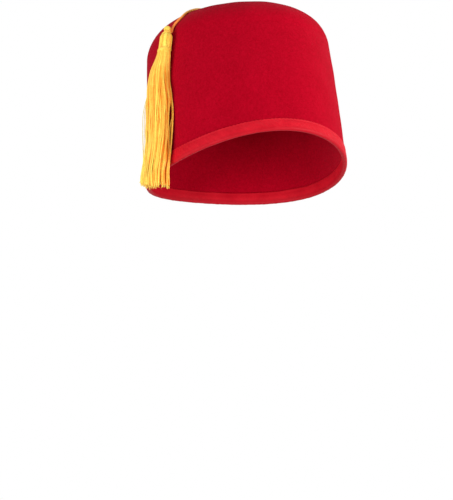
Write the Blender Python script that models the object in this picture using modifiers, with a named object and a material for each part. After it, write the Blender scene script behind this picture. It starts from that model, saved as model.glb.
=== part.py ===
"""A felt fez: an oval cap with a bound rim and a yarn tassel that hangs on a cord.

Metres, +Z up along the hat's axis, front towards -Y. The origin is the centre of the head opening,
at the mean height of the rim. The tassel hangs on the wearer's right, towards -X.
"""
import math
import random

import bmesh
import bpy
from mathutils import Vector

# Driving dimensions of the felt cap, outside faces
RIM_HALF_LENGTH = 0.1000
RIM_HALF_WIDTH = 0.0820
TOP_HALF_LENGTH = 0.0851
TOP_HALF_WIDTH = 0.0781
HAT_HEIGHT = 0.1352
SHOULDER_RADIUS = 0.0245
TOP_DOME = 0.0050
WALL_BELLY = 0.0007
RIM_ARCH = 0.0057
FELT_THICKNESS = 0.0022
WALL_HEIGHT = HAT_HEIGHT - TOP_DOME - SHOULDER_RADIUS

# Ribbon folded over the rim
GAP = 0.0003
RIBBON_THICKNESS = 0.0010
RIBBON_LEG = 0.0086
FOLD_DROP = 0.0003
FOLD_STEPS = 4

# Cord and its knot inside the cap
CORD_DIAMETER = 0.0022
CORD_HOLE_RADIUS = 0.0015
CORD_POINT_SPACING = 0.0050
STOP_KNOT_RADIUS = 0.0040
STOP_KNOT_HALF_HEIGHT = 0.0030

# Tassel
KNOB_RADIUS = 0.0030
KNOB_HALF_HEIGHT = 0.0026
KNOB_CENTRE = Vector((-0.0784, -0.0302, 0.1119))
LOCK_COUNT = 17
LOCK_SIDES = 8
LOCK_SHARE = 0.21          # a lock's radius as a share of the skirt's depth
CORE_SIDES = 20
CORE_SHARE = 0.76          # the core's size as a share of the skirt's
TIP_SPREAD = 0.0055        # how much the locks differ in length
TIP_SHARE = 0.5            # how far each lock's end narrows
TIP_SEED = 7

# How finely round shapes are cut
TURNS = 64
WALL_LEVELS = (0.0, 0.18, 0.5, 0.8, 1.0)
SHOULDER_STEPS = 7
TOP_SHARES = (0.68, 0.36, 0.10)

# The cord's route, from the stop knot up through the top and over the shoulder to the tassel
CORD_ROUTE = [Vector(point) for point in (
    (0.0000, 0.0000, 0.1324),
    (0.0000, 0.0000, 0.1356),
    (-0.0009, -0.0006, 0.1386),
    (-0.0037, -0.0025, 0.1403),
    (-0.0078, -0.0053, 0.1395),
    (-0.0126, -0.0086, 0.1375),
    (-0.0184, -0.0127, 0.1360),
    (-0.0252, -0.0177, 0.1353),
    (-0.0322, -0.0228, 0.1346),
    (-0.0390, -0.0275, 0.1337),
    (-0.0453, -0.0307, 0.1330),
    (-0.0512, -0.0319, 0.1320),
    (-0.0570, -0.0326, 0.1298),
    (-0.0618, -0.0339, 0.1267),
    (-0.0656, -0.0346, 0.1230),
    (-0.0687, -0.0331, 0.1200),
    (-0.0713, -0.0312, 0.1169),
    (-0.0732, -0.0300, 0.1136),
    (-0.0745, -0.0290, 0.1093),
)]

# Tassel sections: height, azimuth from the front towards the wearer's right in degrees, width along
# the wall, depth out from it, the gap between the yarn and the felt, and the share of the depth that
# lies behind the widest line, which is small where the threads lie flat against the felt
TASSEL_SECTIONS = (
    # height, azimuth, width, depth, clearance, back
    (0.1088, 69.0, 0.0040, 0.0040, 0.0036, 0.50),
    (0.1076, 69.1, 0.0074, 0.0072, 0.0022, 0.50),
    (0.1056, 69.2, 0.0100, 0.0104, 0.0009, 0.50),
    (0.1022, 69.6, 0.0106, 0.0112, 0.0005, 0.50),
    (0.0975, 70.2, 0.0110, 0.0112, 0.0005, 0.50),
    (0.0933, 71.1, 0.0115, 0.0108, 0.0006, 0.48),
    (0.0860, 72.3, 0.0153, 0.0120, 0.0006, 0.42),
    (0.0780, 75.1, 0.0226, 0.0130, 0.0006, 0.36),
    (0.0680, 76.4, 0.0267, 0.0138, 0.0006, 0.32),
    (0.0540, 76.6, 0.0321, 0.0142, 0.0006, 0.29),
    (0.0360, 76.7, 0.0358, 0.0144, 0.0008, 0.28),
    (0.0160, 77.2, 0.0358, 0.0144, 0.0018, 0.28),
    (-0.0040, 79.9, 0.0396, 0.0152, 0.0020, 0.32),
    (-0.0140, 81.2, 0.0410, 0.0160, 0.0022, 0.38),
    (-0.0235, 81.2, 0.0424, 0.0164, 0.0024, 0.42),
)
HEAD_ROWS = 6              # the rows above that make the head; the rest make the skirt

# Materials: colour, roughness
FELT = ("felt", (0.53, 0.012, 0.030), 0.95)
RIBBON = ("satin_ribbon", (0.72, 0.020, 0.040), 0.45)
YARN = ("yarn", (0.93, 0.55, 0.07), 0.55)
CORD = ("cord", (0.78, 0.30, 0.04), 0.60)


# ---------------------------------------------------------------- felt surface

def wall_axes(level):
    """Half width and half length of the felt's oval: level 0 is the rim, 1 the foot of the shoulder."""
    belly = WALL_BELLY * 4 * level * (1 - level)
    half_width = RIM_HALF_WIDTH + (TOP_HALF_WIDTH - RIM_HALF_WIDTH) * level + belly
    half_length = RIM_HALF_LENGTH + (TOP_HALF_LENGTH - RIM_HALF_LENGTH) * level + belly
    return half_width, half_length


def rim_arch(turn):
    """Height of the rim at this turn round the oval: the front and back rise, the sides drop."""
    return RIM_ARCH * (2 * math.sin(turn) ** 2 - 1)


def wall_point(turn, level, proud=0.0, rise=0.0):
    """A point on the wall, moved out by proud and up by rise."""
    half_width, half_length = wall_axes(level)
    return Vector(((half_width + proud) * math.cos(turn),
                   (half_length + proud) * math.sin(turn),
                   WALL_HEIGHT * level + rim_arch(turn) * (1 - level) + rise))


def turns(count=TURNS):
    """Even angles round a full turn."""
    return [2 * math.pi * step / count for step in range(count)]


def oval(half_width, half_length, height):
    """A level oval ring."""
    return [Vector((half_width * math.cos(turn), half_length * math.sin(turn), height))
            for turn in turns()]


def dome(half_width):
    """How much the dome raises the ring of this half width: nothing at the foot of the shoulder."""
    return TOP_DOME * (1 - (half_width / TOP_HALF_WIDTH) ** 2) ** 2


def felt_rings():
    """The felt's outer face as rings, from the rim up to the cord's hole."""
    rings = [[wall_point(turn, level) for turn in turns()] for level in WALL_LEVELS]
    for step in range(1, SHOULDER_STEPS + 1):
        bend = math.pi / 2 * step / SHOULDER_STEPS
        inset = SHOULDER_RADIUS * (1 - math.cos(bend))
        half_width = TOP_HALF_WIDTH - inset
        rings.append(oval(half_width, TOP_HALF_LENGTH - inset,
                          WALL_HEIGHT + SHOULDER_RADIUS * math.sin(bend) + dome(half_width)))
    for share in TOP_SHARES:
        half_width = (TOP_HALF_WIDTH - SHOULDER_RADIUS) * share
        half_length = (TOP_HALF_LENGTH - SHOULDER_RADIUS) * share
        rings.append(oval(half_width, half_length, WALL_HEIGHT + SHOULDER_RADIUS + dome(half_width)))
    rings.append(oval(CORD_HOLE_RADIUS, CORD_HOLE_RADIUS, HAT_HEIGHT))
    return rings


def side_of_felt(azimuth, height):
    """The felt's outer face at an azimuth, in degrees from the front to the right, and its normal.

    It serves the wall and the foot of the shoulder, where the dome adds almost nothing.
    """
    heading = Vector((-math.sin(math.radians(azimuth)), -math.cos(math.radians(azimuth)), 0))
    bend = 0.0
    if height > WALL_HEIGHT:
        bend = math.asin(min(1.0, (height - WALL_HEIGHT) / SHOULDER_RADIUS))
        inset = SHOULDER_RADIUS * (1 - math.cos(bend))
        half_width, half_length = TOP_HALF_WIDTH - inset, TOP_HALF_LENGTH - inset
    else:
        arch = rim_arch(math.atan2(heading.y / RIM_HALF_LENGTH, heading.x / RIM_HALF_WIDTH))
        half_width, half_length = wall_axes(max(0.0, (height - arch) / (WALL_HEIGHT - arch)))
    reach = 1 / math.hypot(heading.x / half_width, heading.y / half_length)
    point = heading * reach + Vector((0, 0, height))
    level_normal = Vector((point.x / half_width ** 2, point.y / half_length ** 2, 0)).normalized()
    normal = level_normal * math.cos(bend) + Vector((0, 0, math.sin(bend)))
    return point, normal


# ---------------------------------------------------------------- mesh helpers

def material(name, colour, roughness):
    found = bpy.data.materials.get(name)
    if found:
        return found
    made = bpy.data.materials.new(name)
    made.use_nodes = True
    shader = made.node_tree.nodes["Principled BSDF"]
    shader.inputs["Base Color"].default_value = (*colour, 1)
    shader.inputs["Roughness"].default_value = roughness
    shader.inputs["Metallic"].default_value = 0.0
    return made


def loft(bm, rings, closed_loop=False, capped=False):
    """Join rings of equal count with quads; closed_loop joins the last ring to the first."""
    rows = [[bm.verts.new(point) for point in ring] for ring in rings]
    pairs = list(zip(rows, rows[1:]))
    if closed_loop:
        pairs.append((rows[-1], rows[0]))
    for low, high in pairs:
        for i in range(len(low)):
            j = (i + 1) % len(low)
            bm.faces.new((low[i], low[j], high[j], high[i]))
    if capped:
        bm.faces.new(list(reversed(rows[0])))
        bm.faces.new(rows[-1])


def add_object(name, bm, look, collection, outward=True):
    """Turn a bmesh into a smooth-shaded object; outward sets the faces of a closed shape."""
    if outward:
        bmesh.ops.recalc_face_normals(bm, faces=bm.faces)
    mesh = bpy.data.meshes.new(name)
    bm.to_mesh(mesh)
    bm.free()
    mesh.shade_smooth()
    mesh.set_sharp_from_angle(angle=math.radians(50))
    mesh.materials.append(material(*look))
    made = bpy.data.objects.new(name, mesh)
    collection.objects.link(made)
    return made


def smooth_path(route, spacing):
    """A Catmull-Rom curve through the route, read about every spacing."""
    ends = [route[0] * 2 - route[1]] + list(route) + [route[-1] * 2 - route[-2]]
    points = [route[0]]
    for before, start, end, after in zip(ends, ends[1:], ends[2:], ends[3:]):
        steps = max(1, round((end - start).length / spacing))
        for step in range(1, steps + 1):
            t = step / steps
            points.append(0.5 * (2 * start + (end - before) * t
                                 + (2 * before - 5 * start + 4 * end - after) * t ** 2
                                 + (3 * start - before - 3 * end + after) * t ** 3))
    return points


# ---------------------------------------------------------------- pieces

def make_crown(collection):
    """The felt cap: one open surface from the rim to the cord's hole, thickened inwards."""
    bm = bmesh.new()
    loft(bm, felt_rings())
    crown = add_object("crown", bm, FELT, collection, outward=False)
    solid = crown.modifiers.new("felt thickness", "SOLIDIFY")
    solid.thickness = FELT_THICKNESS
    solid.offset = -1
    solid.use_even_offset = True
    return crown


def ribbon_section(turn):
    """The folded ribbon's closed section at one turn: out and down, round the rim, and up inside."""
    half_felt = FELT_THICKNESS / 2
    near = half_felt + GAP
    far = near + RIBBON_THICKNESS
    leg_level = RIBBON_LEG / WALL_HEIGHT

    def leg_top(side_way):
        return wall_point(turn, leg_level, proud=side_way - half_felt)

    def fold(radius, step, steps):
        swing = math.pi * step / steps
        return wall_point(turn, 0, proud=radius * math.cos(swing) - half_felt,
                          rise=-FOLD_DROP - radius * math.sin(swing))

    outer_face = [fold(far, step, FOLD_STEPS + 1) for step in range(FOLD_STEPS + 2)]
    felt_face = [fold(near, step, FOLD_STEPS) for step in reversed(range(FOLD_STEPS + 1))]
    return [leg_top(far)] + outer_face + [leg_top(-far), leg_top(-near)] + felt_face + [leg_top(near)]


def make_rim_binding(collection):
    bm = bmesh.new()
    loft(bm, [ribbon_section(turn) for turn in turns()], closed_loop=True)
    return add_object("rim_binding", bm, RIBBON, collection)


def make_cord(collection):
    points = smooth_path(CORD_ROUTE, CORD_POINT_SPACING)
    curve = bpy.data.curves.new("tassel_cord", "CURVE")
    curve.dimensions = "3D"
    curve.bevel_depth = CORD_DIAMETER / 2
    curve.bevel_resolution = 2
    curve.use_fill_caps = True
    spline = curve.splines.new("POLY")
    spline.points.add(len(points) - 1)
    for slot, point in zip(spline.points, points):
        slot.co = (*point, 1)
    curve.materials.append(material(*CORD))
    cord = bpy.data.objects.new("tassel_cord", curve)
    collection.objects.link(cord)
    return cord


def make_ball(name, centre, radius, half_height, look, collection):
    """A small squashed ball of wound yarn or knotted cord."""
    bm = bmesh.new()
    bmesh.ops.create_uvsphere(bm, u_segments=16, v_segments=10, radius=radius)
    bmesh.ops.scale(bm, vec=(1, 1, half_height / radius), verts=bm.verts)
    ball = add_object(name, bm, look, collection)
    ball.location = centre
    return ball


def tassel_frame(row):
    """Middle of the widest line, direction along the wall and direction out from it, for one row."""
    height, azimuth, _, depth, clearance, back = row
    point, normal = side_of_felt(azimuth, height)
    centre = point + normal * (depth * back + clearance)
    centre.z = height
    outward = Vector((normal.x, normal.y, 0)).normalized()
    along = Vector((0, 0, 1)).cross(outward)
    return centre, along, outward


def round_section(row, turn, share=1.0, inset=0.0):
    """A point on one row's section, which is an oval that is flatter at the back."""
    centre, along, outward = tassel_frame(row)
    _, _, width, depth, _, back = row
    reach = depth * (1 - back if math.sin(turn) > 0 else back)
    return centre + along * ((width / 2 * share - inset) * math.cos(turn)) \
        + outward * ((reach * share - inset) * math.sin(turn))


def tassel_ring(row, share, sides):
    """A ring of the tassel at one row, scaled to a share of its full size."""
    return [round_section(row, turn, share) for turn in turns(sides)]


def lock_rings(number, shorter):
    """One lock of the skirt, from inside the head's foot down to its own narrowed tip."""
    place = 2 * math.pi * (number + 0.5) / LOCK_COUNT
    rings = []
    for row in TASSEL_SECTIONS[HEAD_ROWS - 1:]:
        _, along, outward = tassel_frame(row)
        _, _, _, depth, _, _ = row
        radius = depth * LOCK_SHARE
        middle = round_section(row, place, inset=radius)
        rings.append([middle + along * (radius * math.cos(turn)) + outward * (radius * math.sin(turn))
                      for turn in turns(LOCK_SIDES)])
    rings[-1] = [point + Vector((0, 0, shorter)) for point in rings[-1]]
    middle.z += shorter - radius * TIP_SHARE
    rings.append([middle + along * (radius * TIP_SHARE * math.cos(turn))
                  + outward * (radius * TIP_SHARE * math.sin(turn)) for turn in turns(LOCK_SIDES)])
    return rings


def make_tassel(collection, cutters):
    """The head and core of the tassel, with the skirt's locks fused on all round."""
    bm = bmesh.new()
    rings = [tassel_ring(row, 1.0, CORE_SIDES) for row in TASSEL_SECTIONS[:HEAD_ROWS]]
    rings += [tassel_ring(row, CORE_SHARE, CORE_SIDES) for row in TASSEL_SECTIONS[HEAD_ROWS:]]
    loft(bm, rings, capped=True)
    tassel = add_object("tassel", bm, YARN, collection)

    bm = bmesh.new()
    lengths = random.Random(TIP_SEED)
    for number in range(LOCK_COUNT):
        loft(bm, lock_rings(number, lengths.uniform(0, TIP_SPREAD)), capped=True)
    locks = add_object("tassel_locks", bm, YARN, cutters)
    locks.hide_render = True
    locks.display_type = "WIRE"

    join = tassel.modifiers.new("fuse the locks", "BOOLEAN")
    join.operation = "UNION"
    join.solver = "EXACT"
    join.use_self = True
    join.object = locks
    return tassel


def main():
    for old in list(bpy.data.objects):
        bpy.data.objects.remove(old, do_unlink=True)
    collection = bpy.data.collections.new("fez_hat")
    cutters = bpy.data.collections.new("cutters")
    bpy.context.scene.collection.children.link(collection)
    bpy.context.scene.collection.children.link(cutters)

    make_crown(collection)
    make_rim_binding(collection)
    make_cord(collection)
    stop_centre = CORD_ROUTE[0] - Vector((0, 0, GAP + STOP_KNOT_HALF_HEIGHT))
    make_ball("cord_knot", stop_centre, STOP_KNOT_RADIUS, STOP_KNOT_HALF_HEIGHT, CORD, collection)
    make_ball("tassel_knob", KNOB_CENTRE, KNOB_RADIUS, KNOB_HALF_HEIGHT, YARN, collection)
    make_tassel(collection, cutters)


main()
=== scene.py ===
"""The looks of a fez: a pressed felt cap, a satin ribbon bound round its rim and a yarn tassel on a cord.

Metres, +Z up along the hat's axis, front towards -Y. The origin is the centre of the head opening, and the
tassel hangs on the hat's right side, towards -X. Turns are angles round the cap from +X to +Y, and azimuths
run from the front to the right side. Angles round the tassel run from its end nearest the front outwards.
"""

import math

import bpy
import numpy as np
from mathutils import Matrix, Vector


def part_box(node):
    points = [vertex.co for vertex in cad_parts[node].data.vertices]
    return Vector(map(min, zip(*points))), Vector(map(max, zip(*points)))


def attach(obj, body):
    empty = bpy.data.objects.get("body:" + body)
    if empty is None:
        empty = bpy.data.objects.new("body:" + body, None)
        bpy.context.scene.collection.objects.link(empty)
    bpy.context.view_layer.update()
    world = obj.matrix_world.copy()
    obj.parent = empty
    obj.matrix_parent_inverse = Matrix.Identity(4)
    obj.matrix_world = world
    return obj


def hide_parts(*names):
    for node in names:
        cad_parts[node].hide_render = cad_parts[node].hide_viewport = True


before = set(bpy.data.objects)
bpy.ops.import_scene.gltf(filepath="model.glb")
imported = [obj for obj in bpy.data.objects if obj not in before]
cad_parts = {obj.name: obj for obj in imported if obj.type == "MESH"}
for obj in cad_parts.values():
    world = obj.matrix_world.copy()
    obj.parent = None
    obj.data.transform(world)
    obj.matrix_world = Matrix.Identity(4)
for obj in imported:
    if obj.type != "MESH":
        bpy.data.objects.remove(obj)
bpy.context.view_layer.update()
_, crown_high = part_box("crown")
knob_low, knob_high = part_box("tassel_knob")
stop_low, stop_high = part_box("cord_knot")

# The felt cap's outer face, with the same driving dimensions as its solid
RIM_HALF_LENGTH = crown_high.y
RIM_HALF_WIDTH = crown_high.x
TOP_HALF_LENGTH = 0.0851
TOP_HALF_WIDTH = 0.0781
HAT_HEIGHT = crown_high.z
SHOULDER_RADIUS = 0.0245
TOP_DOME = 0.0050
WALL_BELLY = 0.0007
RIM_ARCH = 0.0057
FELT_THICKNESS = 0.0022
WALL_HEIGHT = HAT_HEIGHT - TOP_DOME - SHOULDER_RADIUS

# Fine form of the felt. The rows add up to an even number, because the inner face has every second one
CROWN_TURNS = 288
CROWN_WALL_ROWS = 60
CROWN_SHOULDER_ROWS = 24
CROWN_TOP_ROWS = 26
CORD_HOLE_RADIUS = 0.0013
CORD_DIMPLE_RADIUS = 0.008
CORD_DIMPLE_DEPTH = 0.0009
FELT_WAVES = ((0.060, 0.00022), (0.022, 0.00008))  # wavelength, height
FELT_SEED = 30
FELT_HELD = 0.02  # the waves reach their full size this far above the rim

# Satin ribbon folded over the rim
RIBBON_LEG = 0.0086
RIBBON_THICKNESS = 0.0004
RIBBON_GAP = 0.0001
RIBBON_HELD = FELT_THICKNESS / 2 + RIBBON_GAP + RIBBON_THICKNESS / 2  # middle of the felt to the ribbon's
RIBBON_FOLD_RADIUS = 0.0018
RIBBON_FOLD_DROP = 0.0002
RIBBON_TURNS = 1080
RIBBON_LEG_ROWS = 16
RIBBON_FOLD_ROWS = 9
RIBBON_PUFF = 0.0042  # its outside leg is as wide as the fold this far below the stitches
RIBBON_INSIDE_PUFF = 0.0040  # and its inside leg
RIBBON_LIP = 0.00022  # how far its upper edge stands off
RIBBON_SCALLOP = 0.00016  # how far the stitches draw its upper edge down
RIBBON_EDGE_WAVES = ((0.03, 0.00014),)  # wavelength, height
RIBBON_EDGE_SEED = 19
CREASES = ((0.0085, 0.00017), (0.0036, 0.00012))  # wavelength, height
CREASE_SEED = 16
CREASE_TOP_FADE = 0.003  # they fade in over this height below the stitches
CREASE_RIM_FADE = 0.004  # and out over this one, with the rim in its middle
FOLD_SHADE_MIDDLE = -0.0032  # where along the ribbon's width, past the rim, its fold has the darkest painted shade
FOLD_SHADE_WIDTH = 0.0048  # how far from there the painted shade reaches
STITCH_HEIGHT = 0.0073
STITCH_PITCH = 0.0032
STITCH_LENGTH = 0.0020
STITCH_DIAMETER = 0.00032
STITCH_STRAY = 0.00012  # how far the stitches stray from their row
STITCH_BOW = 0.00016  # how far a stitch's middle stands proud of its ends
STITCH_SINK = 0.00008  # how deep its ends sink in
STITCH_PINCH = 0.0010  # half the height of the groove along their row
STITCH_DIMPLE = 0.00022  # how far the ribbon swells between two stitches
STITCH_PULL_LOW = 0.0035  # the swelling starts here
STITCH_PULL_SPAN = 0.003  # and is full this far above
STITCH_WEAVE = 0.0004  # the width of the weave that a stitch takes its look from

# Cord: the same route as its solid, from the stop knot up through the top and down to the tassel
CORD_DIAMETER = 0.0022
CORD_POINT_SPACING = 0.0005
CORD_PLIES = 3
CORD_LAY = 0.0062
CORD_RELIEF = 0.3  # 0 is a plain round cord, 1 has the full grooves of hard round plies
# Painted light: the change from orange low down to gold on top stands in for how light falls on the cord
CORD_GOLD_LOW = 0.117  # the cord is orange up to this height
CORD_GOLD_SPAN = 0.014  # and turns gold over this one
CORD_ROUTE = (
    (0.0000, 0.0000, 0.1324),
    (0.0000, 0.0000, 0.1356),
    (-0.0009, -0.0006, 0.1386),
    (-0.0037, -0.0025, 0.1403),
    (-0.0078, -0.0053, 0.1395),
    (-0.0126, -0.0086, 0.1375),
    (-0.0184, -0.0127, 0.1360),
    (-0.0252, -0.0177, 0.1353),
    (-0.0322, -0.0228, 0.1346),
    (-0.0390, -0.0275, 0.1337),
    (-0.0453, -0.0307, 0.1330),
    (-0.0512, -0.0319, 0.1320),
    (-0.0570, -0.0326, 0.1298),
    (-0.0618, -0.0339, 0.1267),
    (-0.0656, -0.0346, 0.1230),
    (-0.0687, -0.0331, 0.1200),
    (-0.0713, -0.0312, 0.1169),
    (-0.0732, -0.0300, 0.1136),
    (-0.0745, -0.0290, 0.1093),
)
STOP_KNOT_DIAMETER = CORD_DIAMETER * 0.84  # the cord pulled tight in its knot
KNOB_LOOPS = 11  # of yarn, wound into the small ball above the tassel
KNOB_LOOP_RINGS = 34

# Tassel sections, as on its solid. Clearance is the gap between the yarn and the felt, and back is the
# share of the depth behind the widest line, which is small where the threads lie flat against the felt
TASSEL_SECTIONS = (
    # height, azimuth in degrees, width, depth, clearance, back
    (0.1088, 69.0, 0.0040, 0.0040, 0.0036, 0.50),
    (0.1076, 69.1, 0.0074, 0.0072, 0.0022, 0.50),
    (0.1056, 69.2, 0.0100, 0.0104, 0.0009, 0.50),
    (0.1022, 69.6, 0.0106, 0.0112, 0.0005, 0.50),
    (0.0975, 70.2, 0.0110, 0.0112, 0.0005, 0.50),
    (0.0933, 71.1, 0.0115, 0.0108, 0.0006, 0.48),
    (0.0860, 72.3, 0.0153, 0.0120, 0.0006, 0.42),
    (0.0780, 75.1, 0.0226, 0.0130, 0.0006, 0.36),
    (0.0680, 76.4, 0.0267, 0.0138, 0.0006, 0.32),
    (0.0540, 76.6, 0.0321, 0.0142, 0.0006, 0.29),
    (0.0360, 76.7, 0.0358, 0.0144, 0.0008, 0.28),
    (0.0160, 77.2, 0.0358, 0.0144, 0.0018, 0.28),
    (-0.0040, 79.9, 0.0396, 0.0152, 0.0020, 0.32),
    (-0.0140, 81.2, 0.0410, 0.0160, 0.0022, 0.38),
    (-0.0235, 81.2, 0.0424, 0.0164, 0.0024, 0.42),
)
SECTIONS = dict(zip(("height", "azimuth", "width", "depth", "clearance", "back"),
                    np.array(TASSEL_SECTIONS)[::-1].T))
NECK_HEIGHT = 0.1088
TIE_HEIGHT = 0.0933
SETTLE = 0.0050  # how far the threads at the front lie back against the felt
SETTLE_MIDDLE = -0.4  # radians: where they lie back most
SETTLE_ANGLE = 38.0  # degrees: the side that they settle away from
SETTLE_SPAN = 0.03  # how far below the tie they are fully settled
FELT_CURVE = 0.115  # the felt's radius of curve behind the tassel
FRONT_ANGLE = -24.0  # degrees: the middle of its front side
PARTING_DEPTH = 0.42  # how far the body draws in behind the loose threads at the front
PARTING_HEIGHT = 0.0255
PARTING_SPAN = 0.021
TAPER = 0.06  # how far the front side draws in near the tips
TAPER_HEIGHT = 0.018  # it starts here
TAPER_SPAN = 0.02  # and is full this far below
OUTER_ANGLE = 132.0  # degrees: the middle of its shaded outer side
OUTER_SHADE_HEIGHT = 0.09  # that shade fades from here down to the rim

# The tassel's threads. A tint of 0 is the deepest orange and 1 the palest yellow
THREAD_DIAMETER = 0.00118
THREAD_PLIES = 2
THREAD_LAY = 0.0042
HEAD_SEED = 14
SKIRT_SEED = 11
LAYER_SEEDS = {"tassel_skirt": 23, "tassel_inner_skirt": 29}

# Layers of the skirt: threads, rings, least and most share of the section, clumps, how far each gathers
SKIRT_OUTER = (86, 84, 0.96, 1.0, 18, 0.50)
SKIRT_INNER = (80, 60, 0.90, 0.95, 9, 0.3)
SKIRT_HEART = (60, 60, 0.20, 0.78, 9, 0.3)
SKIRT_OVERLAP = 0.002  # how far it starts above the tie
TIP_HEIGHT = -0.0224
TIP_SLANT = 0.0056  # how much longer than the mean the longest ones are
TIP_SLANT_ANGLE = 40.0  # degrees: where these hang
TIP_LIFT = 0.0080  # how much shorter still the threads at the back edge are
TIP_RAGGED = 0.0018
INNER_TIP_SHORTER = 0.0060
LOOSE_SPAN = 0.040  # how far below the tie the threads hang fully loose
CLUMP_DRIFTS = ((2.6, 2.1, 2, 0.0), (1.6, 4.3, 1, 1.0))  # size, radians down, turns round, start
CLUMP_GROOVE = 0.035  # how far the threads between two clumps draw in
SWAY_ROUND = 0.055  # the most that a sway moves a thread, in radians round the tassel
SWAY_OUT = 0.035  # and in shares of the section
RIPPLE = 0.018  # the short ripples on top of it, in both ways
SKIRT_TINTS = (0.54, 1.08)
# Painted shade: how far the threads' tints are lowered on the front side next to the felt, on the outer side,
# near the tie, in the inner layers and between clumps
SKIRT_FRONT_SHADE = 0.52
SKIRT_OUTER_SHADE = 0.42
SKIRT_TOP_SHADE = 0.22
SKIRT_INNER_SHADE = 0.45
HOLLOW_SHADE = 0.26  # between two clumps
HOLLOW_FRONT_SHADE = 0.20

# The tassel's head: yarns folded down over a core, with soft folds round it
HEAD_THREADS = 30
HEAD_TOP_RINGS = 12
HEAD_WALL_RINGS = 14
HEAD_TOP_DROP = 0.0032
HEAD_WALL_DROP = 0.0036
HEAD_FOLDS = 7
HEAD_FOLD_START = 0.8
HEAD_FOLD_PULL = 0.045
HEAD_FOLD_DEPTH = 0.020
HEAD_CROWDED = 0.0055  # nearer to the middle, its yarns are thinner
HEAD_CORE_RINGS = 16
HEAD_CORE_SIDES = 32
WINDINGS = (
    # name, height, turns, pitch, how far it stands out, diameter, rings
    ("tassel_tie", TIE_HEIGHT, 4, 0.00048, -0.0002, 0.00052, 150),
    ("tassel_neck", NECK_HEIGHT, 4, 0.00055, 0.0002, 0.00070, 120),
)

# Loose threads. They part from the rest at top and rejoin it at bottom
STRAYS = (
    # angle in degrees, stand-off, top, bottom, tip, thickness as a share of a whole thread's
    (158.0, 0.0054, 0.069, -0.012, -0.0125, 0.36),
    (152.0, 0.0028, 0.068, -0.016, -0.0140, 0.40),
    (-20.0, 0.0003, 0.056, 0.004, -0.0205, 0.95),
    (-27.0, 0.0001, 0.040, -0.010, -0.0190, 0.80),
    (-22.0, -0.0026, 0.036, -0.002, -0.0200, 0.85),
)

# Fine fibres at the end of each thread
FRAY_FIBRES = 7
FRAY_RINGS = 5
FRAY_SIDES = 4
FRAY_RADIUS = 0.00024
FRAY_LENGTHS = (0.0014, 0.0030)

# Colours, the darker or deeper one first
FELT_COLOURS = ((0.268, 0.0, 0.0060), (0.412, 0.0012, 0.0138))
SATIN_COLOURS = ((0.445, 0.0031, 0.0125), (0.543, 0.0071, 0.0182))
# The colour of the painted shade round the ribbon's fold
PAINTED_FOLD_SHADE = (0.33, 0.0034, 0.0100)
YARN_COLOURS = ((0.98, 0.250, 0.0055), (0.885, 0.77, 0.119))
CORD_COLOURS = ((0.88, 0.23, 0.034), (0.74, 0.37, 0.060))
BUMP_STRENGTH = 0.8
RIB_PITCH = 0.00042
WEFT_PITCH = 0.00030
FIBRE_LAY = 0.0011

# Camera: where it stands round the hat, and where the point it is aimed by falls in the picture
CAMERA_AZIMUTH = -25.4
CAMERA_ELEVATION = -19.9
CAMERA_ROLL = -3.9
CAMERA_DISTANCE = 1.9
CAMERA_AIM = Vector((0, 0, 0.060))
PICTURE_SIZE = (453, 500)
AIM_PIXEL = (241.25, 106.75)
FOCAL_PIXELS = 2195.4
SENSOR_HEIGHT = 36.0  # millimetres

# Studio
FLOOR_HEIGHT = -1.65  # far enough below the hat that its shadow there is faint
FLOOR_HALF = 6.0
BACKDROP_STRENGTH = 1.0
AMBIENT_STRENGTH = 0.47
LIGHT_DISTANCE = 1.9
LIGHTS = (
    # name, degrees round from the camera to its right, degrees up, width, tall, watts
    ("left_softbox", -55.0, -20.0, 0.7, 0.9, 29.5),
    ("right_softbox", 80.0, 0.0, 0.7, 0.9, 32.5),
    ("front_softbox", 45.0, -25.0, 0.7, 0.9, 20.5),
    ("top_softbox", 10.0, 72.0, 0.9, 0.9, 10.0),
)


# ---- felt surface

def wall_axes(level):
    """Half width and half length of the felt's oval: level 0 is the rim, 1 the foot of the shoulder."""
    belly = WALL_BELLY * 4 * level * (1 - level)
    half_width = RIM_HALF_WIDTH + (TOP_HALF_WIDTH - RIM_HALF_WIDTH) * level + belly
    half_length = RIM_HALF_LENGTH + (TOP_HALF_LENGTH - RIM_HALF_LENGTH) * level + belly
    return half_width, half_length


def rim_arch(turn):
    """Height of the rim at this turn round the oval: the front and back rise, the sides drop."""
    return RIM_ARCH * (2 * np.sin(turn) ** 2 - 1)


def wall_points(turn, level, proud=0.0, rise=0.0):
    """Points on the wall, moved out by proud and up by rise; the arguments may be arrays."""
    turn, level, proud, rise = np.broadcast_arrays(turn, level, proud, rise)
    half_width, half_length = wall_axes(level)
    return np.stack([(half_width + proud) * np.cos(turn),
                     (half_length + proud) * np.sin(turn),
                     WALL_HEIGHT * level + rim_arch(turn) * (1 - level) + rise], axis=-1)


def dome(half_width):
    """How much the dome raises the ring of this half width."""
    return TOP_DOME * (1 - (half_width / TOP_HALF_WIDTH) ** 2) ** 2


def full_turn(count):
    """Even angles round a full turn."""
    return 2 * np.pi * np.arange(count) / count


def oval(half_width, half_length, height, turn):
    """A level oval ring."""
    return np.stack([half_width * np.cos(turn), half_length * np.sin(turn),
                     np.full_like(turn, height)], axis=-1)


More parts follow.
